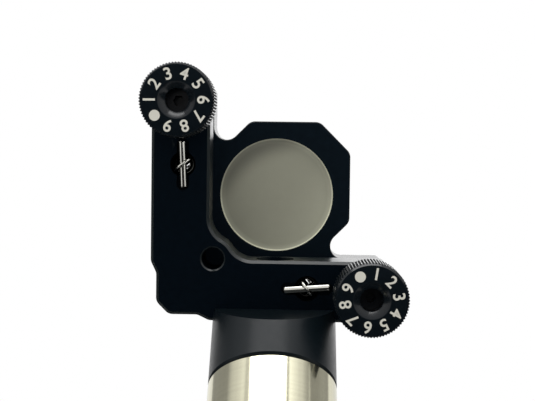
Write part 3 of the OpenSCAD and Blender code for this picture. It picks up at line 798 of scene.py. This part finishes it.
def turned(name, outline, sides):
    """A turned piece: one ring of points, extruded and resized from stop to stop of an outline."""
    radius, height = outline[0]
    bpy.ops.mesh.primitive_circle_add(vertices=sides, radius=radius * MM, fill_type="NOTHING",
                                      location=(0, 0, height * MM), enter_editmode=True)
    piece = bpy.context.object
    piece.name = name
    for next_radius, next_height in outline[1:]:
        bpy.ops.mesh.extrude_edges_move(
            TRANSFORM_OT_translate={"value": (0, 0, (next_height - height) * MM)})
        share = next_radius / radius
        bpy.ops.transform.resize(value=(share, share, 1), center_override=(0, 0, 0))
        radius, height = next_radius, next_height
    bpy.ops.mesh.select_all(action="SELECT")
    bpy.ops.mesh.remove_doubles(threshold=MERGE)
    bpy.ops.mesh.normals_make_consistent(inside=False)
    bpy.ops.object.mode_set(mode="OBJECT")
    bpy.ops.object.transform_apply(location=True, rotation=True, scale=True)
    return piece


# %% Knurled knobs
def in_a_knurl(point):
    """True on the rim, for two points in each group of four round the knob."""
    turn = math.atan2(point.y, point.x) / (2 * math.pi) * 4 * KNURLS
    return math.hypot(point.x, point.y) > (KNOB_RADIUS - CLOSE) * MM and round(turn) % 4 > 1


def knurled_knob(name, node, body):
    """A turned knob with its knurls cut, its grooves dulled and darkened as painted shade, in the
    place of a CAD knob.
    """
    knob = turned(name, knob_outline, 4 * KNURLS)
    drawn_in = 1 - KNURL_DEPTH / KNOB_RADIUS
    for end in (-1, 1):
        middle = -KNOB_LENGTH / 2 * MM
        pick(knob, lambda point: in_a_knurl(point) and (point.z - middle) * end > 0)
        bpy.ops.transform.resize(value=(drawn_in, drawn_in, 1), center_override=(0, 0, 0))
        bpy.ops.transform.translate(value=(0, 0, end * KNURL_DEPTH * MM))
    bpy.ops.object.mode_set(mode="OBJECT")
    bpy.ops.object.shade_smooth_by_angle(angle=math.radians(KNOB_SMOOTH_UNDER))
    groove_floor = (KNOB_RADIUS - KNURL_DEPTH / 3) * MM
    grooves = [math.hypot(*polygon.center[:2]) < groove_floor
               and math.hypot(*polygon.center[:2]) > (rim - CLOSE) * MM
               and abs(polygon.normal.z) < WALL_TILT for polygon in knob.data.polygons]
    face = centre(node) - out * KNOB_LENGTH / 2 * MM
    settle(knob, Matrix.Translation(face) @ seen_from_behind, knob_black, body)
    # The knurls' grooves get the darker black with painted shade.
    knob.data.materials.append(groove_black_painted_shade)
    for polygon, in_groove in zip(knob.data.polygons, grooves):
        polygon.material_index = int(in_groove)
    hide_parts(node)
    print(name, len(knob.data.polygons), "faces")


knurled_knob("upper_knurled_knob", "upper_knob", "upper_adjuster")
knurled_knob("lower_knurled_knob", "lower_knob", "lower_adjuster")

# %% [markdown]
# ## The dials
# A printed dot marks zero on each knob's face, and plain numbers round it count the tenths of a
# turn. The dot is a low turned button and the numbers are text made into mesh, both a hair proud.

# %% Dial helper
DOT_RADIUS = 1.05
DOT_FROM_CENTRE = 5.15
NUMBER_FROM_CENTRE = 5.1
NUMBER_HEIGHT = 2.3
HEIGHT_SHARE = 0.7
STROKE_GROWTH = 0.05
PRINT_HEIGHT = 0.03
TENTHS = 10
UPPER_ZERO = 233.6
LOWER_ZERO = 332.8
DOT_SIDES = 48

dot_outline = [(POLE, PRINT_HEIGHT), (DOT_RADIUS - PRINT_HEIGHT, PRINT_HEIGHT), (DOT_RADIUS, 0),
               (DOT_RADIUS, -PRINT_HEIGHT), (POLE, -PRINT_HEIGHT)]


def printed_dial(name, node, zero, body):
    """The dot and the numbers 1 to 9, clockwise from the dot at an angle from the top."""
    face = Matrix.Translation(centre(node) - out * KNOB_LENGTH / 2 * MM) @ seen_from_behind
    dot = turned(name, dot_outline, DOT_SIDES)
    step = 2 * math.pi / TENTHS
    dot.matrix_world = (Matrix.Rotation(-zero, 4, "Z")
                        @ Matrix.Translation((0, DOT_FROM_CENTRE * MM, 0)))
    marks = [dot]
    for tenth in range(1, TENTHS):
        bpy.ops.object.text_add()
        number = bpy.context.object
        number.data.body = str(tenth)
        number.data.size = NUMBER_HEIGHT / HEIGHT_SHARE * MM
        number.data.offset = STROKE_GROWTH * MM
        number.data.extrude = PRINT_HEIGHT * MM
        number.data.align_x = "CENTER"
        number.data.align_y = "CENTER"
        bpy.ops.object.convert(target="MESH")
        number.matrix_world = (Matrix.Rotation(-zero - tenth * step, 4, "Z")
                               @ Matrix.Translation((0, NUMBER_FROM_CENTRE * MM, 0)))
        marks.append(number)
    for mark in marks:
        only(mark)
        bpy.ops.object.transform_apply(location=True, rotation=True, scale=True)
    for mark in marks:
        mark.select_set(True)
    bpy.context.view_layer.objects.active = dot
    bpy.ops.object.join()
    settle(dot, face, mark_white, body)
    print(name, len(marks), "marks")


printed_dial("upper_dial", "upper_knob", math.radians(UPPER_ZERO), "upper_adjuster")
printed_dial("lower_dial", "lower_knob", math.radians(LOWER_ZERO), "lower_adjuster")

# %% [markdown]
# ## The springs
# Each spring hooks a pin in both plates, so its far end follows the front plate as it tips. The CAD
# wire is six-sided: its copy is subdivided once for a round wire. The front plate tips about two
# axes, and a bending piece can join only two bodies, so each spring is cut in the plane where both
# axes pass, into a rear half and a front half.
#
# Subdividing draws the wire in, so it is first made thicker by about the share that it will lose.
# Bisect fills the cut, but not cleanly: on these coils it leaves extra faces along the cut.

# %% Spring helper
WIRE_RADIUS = 0.325
ROUNDING_LOSS = 0.15


def round_wire(name, node):
    """A copy of a spring, with its six-sided wire made round."""
    piece = bpy.data.objects.new(name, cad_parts[node].data.copy())
    bpy.context.scene.collection.objects.link(piece)
    only(piece)
    bpy.ops.object.mode_set(mode="EDIT")
    bpy.ops.mesh.select_all(action="SELECT")
    bpy.ops.mesh.remove_doubles(threshold=MERGE)
    bpy.ops.mesh.tris_convert_to_quads()
    bpy.ops.transform.shrink_fatten(value=ROUNDING_LOSS * WIRE_RADIUS * MM)
    bpy.ops.object.mode_set(mode="OBJECT")
    rounding = piece.modifiers.new("rounding", "SUBSURF")
    rounding.levels = rounding.render_levels = 1
    bpy.ops.object.modifier_apply(modifier="rounding")
    bpy.ops.object.shade_smooth()
    print(name, len(piece.data.polygons), "faces")
    return piece


def cut_off(piece, cut, side):
    """Cuts a piece at a plane across the head's third axis, fills the cut and keeps one side."""
    only(piece)
    bpy.ops.object.mode_set(mode="EDIT")
    bpy.ops.mesh.select_all(action="SELECT")
    bpy.ops.mesh.bisect(plane_co=cut, plane_no=out * side, use_fill=True, clear_inner=True)
    bpy.ops.object.mode_set(mode="OBJECT")


# %% Springs
def two_part_spring(side):
    """One spring in two halves that meet in the plane where both of the plate's axes pass."""
    node = side + "_spring"
    rear = round_wire(node + "_rear", node)
    cut_off(rear, pivot, -1)
    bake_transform(rear)
    front = round_wire(node + "_front", node)
    cut_off(front, pivot, 1)
    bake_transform(front)
    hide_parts(node)
    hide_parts(node)


two_part_spring("upper")
two_part_spring("lower")

# %% [markdown]
# ## The mirror's front
# The glass is ground on its back and edge, and its front has a thin bright metal coat. The coat is
# a disc of its own on the glass, so glass and metal each keep one plain finish.

# %% Mirror coat
GLASS_RADIUS = 12.7
HALF_GLASS = 3.0
COAT_MARGIN = 0.5
COAT_HEIGHT = 0.02
COAT_SIDES = 128

coat_radius = GLASS_RADIUS - COAT_MARGIN
coat_outline = [(POLE, COAT_HEIGHT), (coat_radius - COAT_HEIGHT, COAT_HEIGHT), (coat_radius, 0),
                (coat_radius, -COAT_HEIGHT), (POLE, -COAT_HEIGHT)]

silver = finish("silver_coat", (0.90, 0.90, 0.89), 0.03, metallic=1, spread=0.02, grain=80, bump=0)
glass_front = centre("mirror_disc") + out * HALF_GLASS * MM
facing_out = Matrix((across, -up, out)).transposed().to_4x4()
coat = turned("mirror_coat", coat_outline, COAT_SIDES)
settle(coat, Matrix.Translation(glass_front) @ facing_out, silver, "optic_plate")
print("mirror coat:", round(2 * coat_radius, 1), "mm across")
